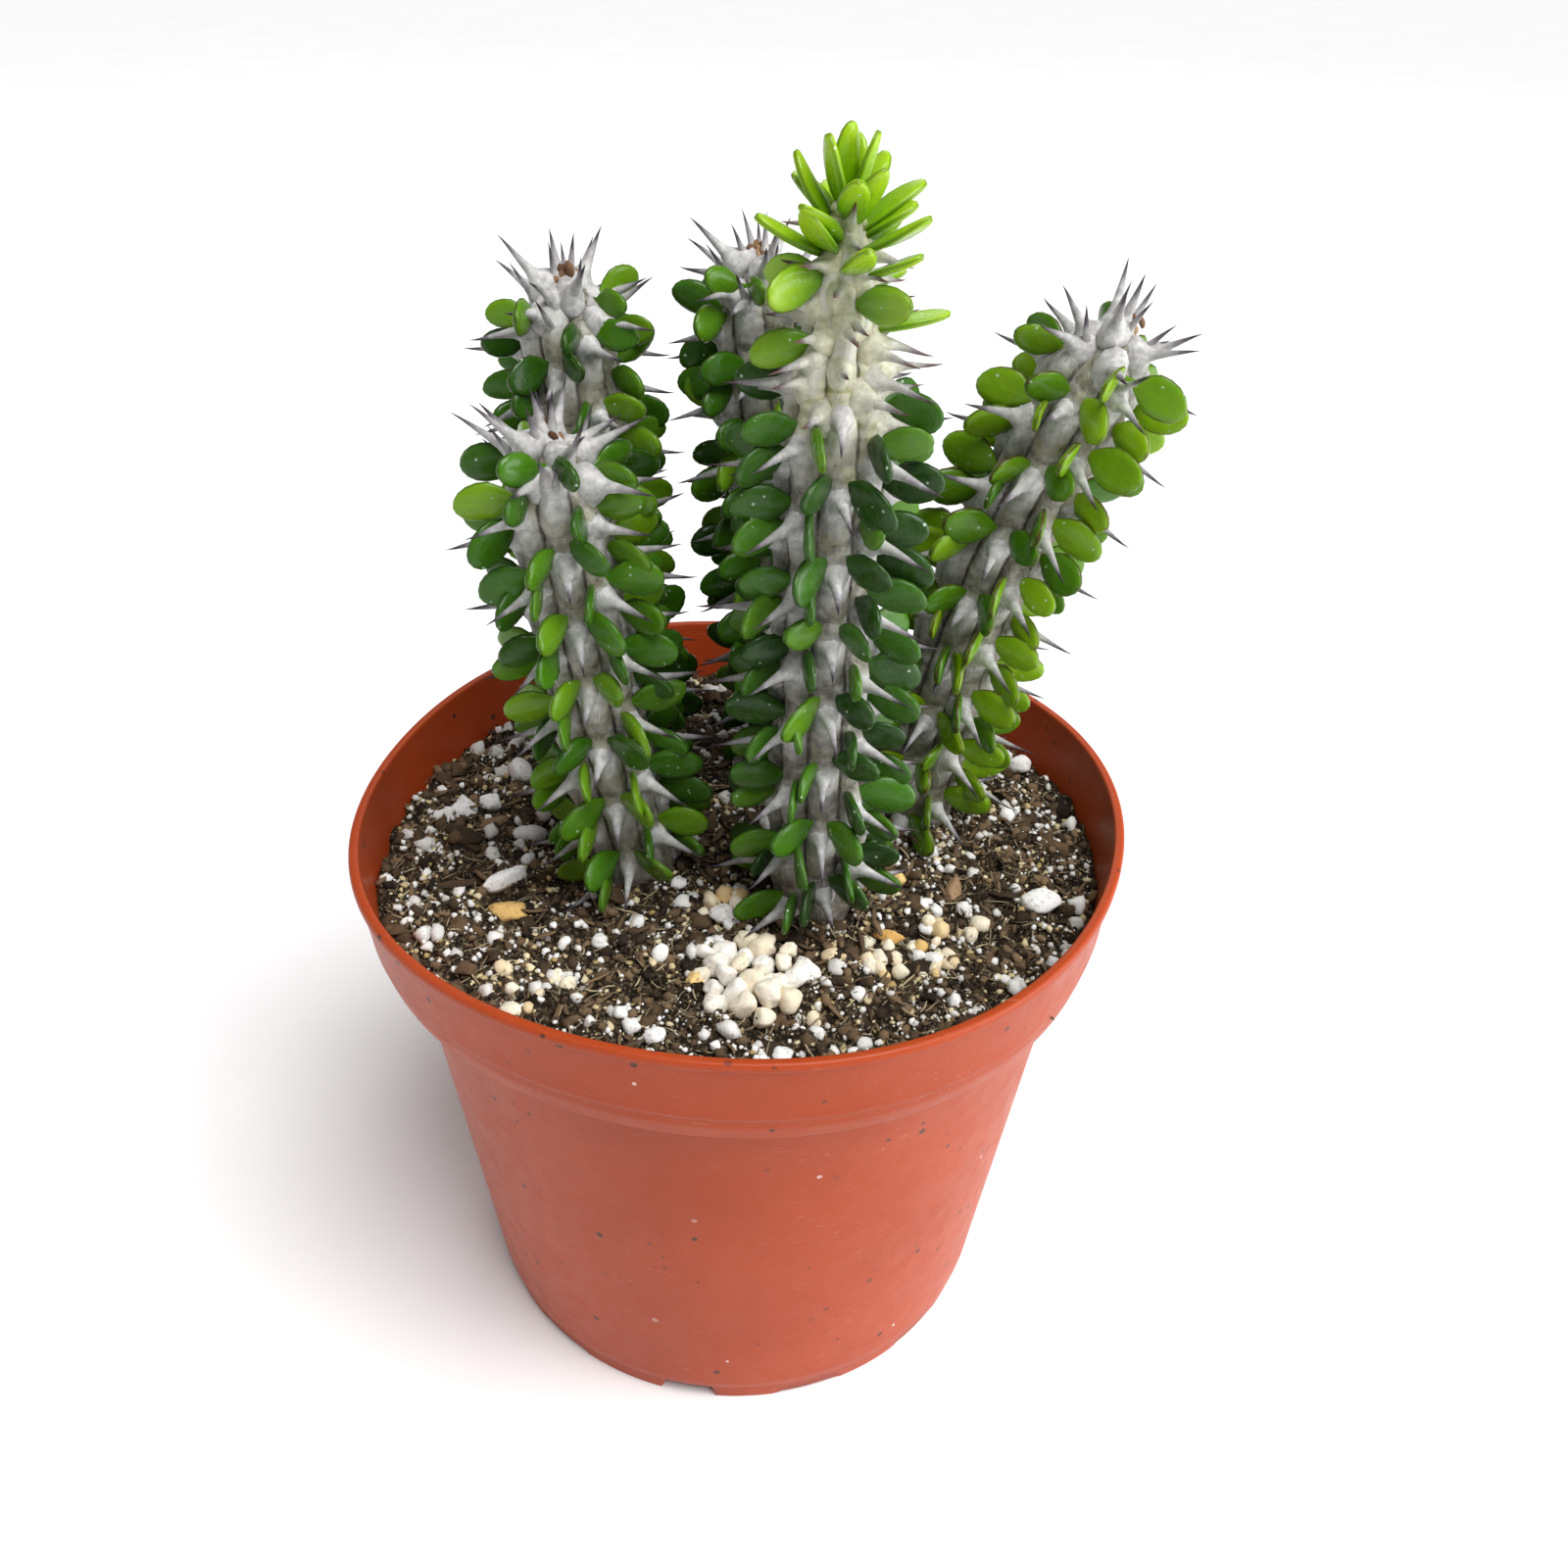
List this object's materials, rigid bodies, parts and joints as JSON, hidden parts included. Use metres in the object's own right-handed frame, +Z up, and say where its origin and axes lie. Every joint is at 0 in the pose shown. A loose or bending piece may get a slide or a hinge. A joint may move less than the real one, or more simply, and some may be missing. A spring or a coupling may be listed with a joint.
{
  "type": "potted madagascar ocotillo",
  "caption": "Thorny columnar Madagascar ocotillo cuttings with small oval leaves, standing in gritty soil in a round terracotta-coloured plastic nursery pot.",
  "frame": {"origin": "on the ground, at the centre of the pot's foot ring", "axes": "+Z up along the stems; -Y is the plant's front, +X its right side seen from the front"},
  "size_m": [0.1512, 0.1513, 0.2466],
  "materials": {
    "pot_plastic": "satin moulded plastic, terracotta colour",
    "potting_mix": "loose peat with perlite and grit",
    "pumice": "rough porous stone",
    "plant": "grey ribbed bark, pale thorns and fleshy green leaves"
  },
  "bodies": {
    "root": {"pot": "pot_plastic", "soil": "potting_mix", "pumice_pile": "pumice", "leafy_stem_centre": "plant", "leafy_stem_front_left": "plant", "leafy_stem_right": "plant", "leafy_stem_back_left": "plant", "leafy_stem_back": "plant"}
  },
  "joints": []
}
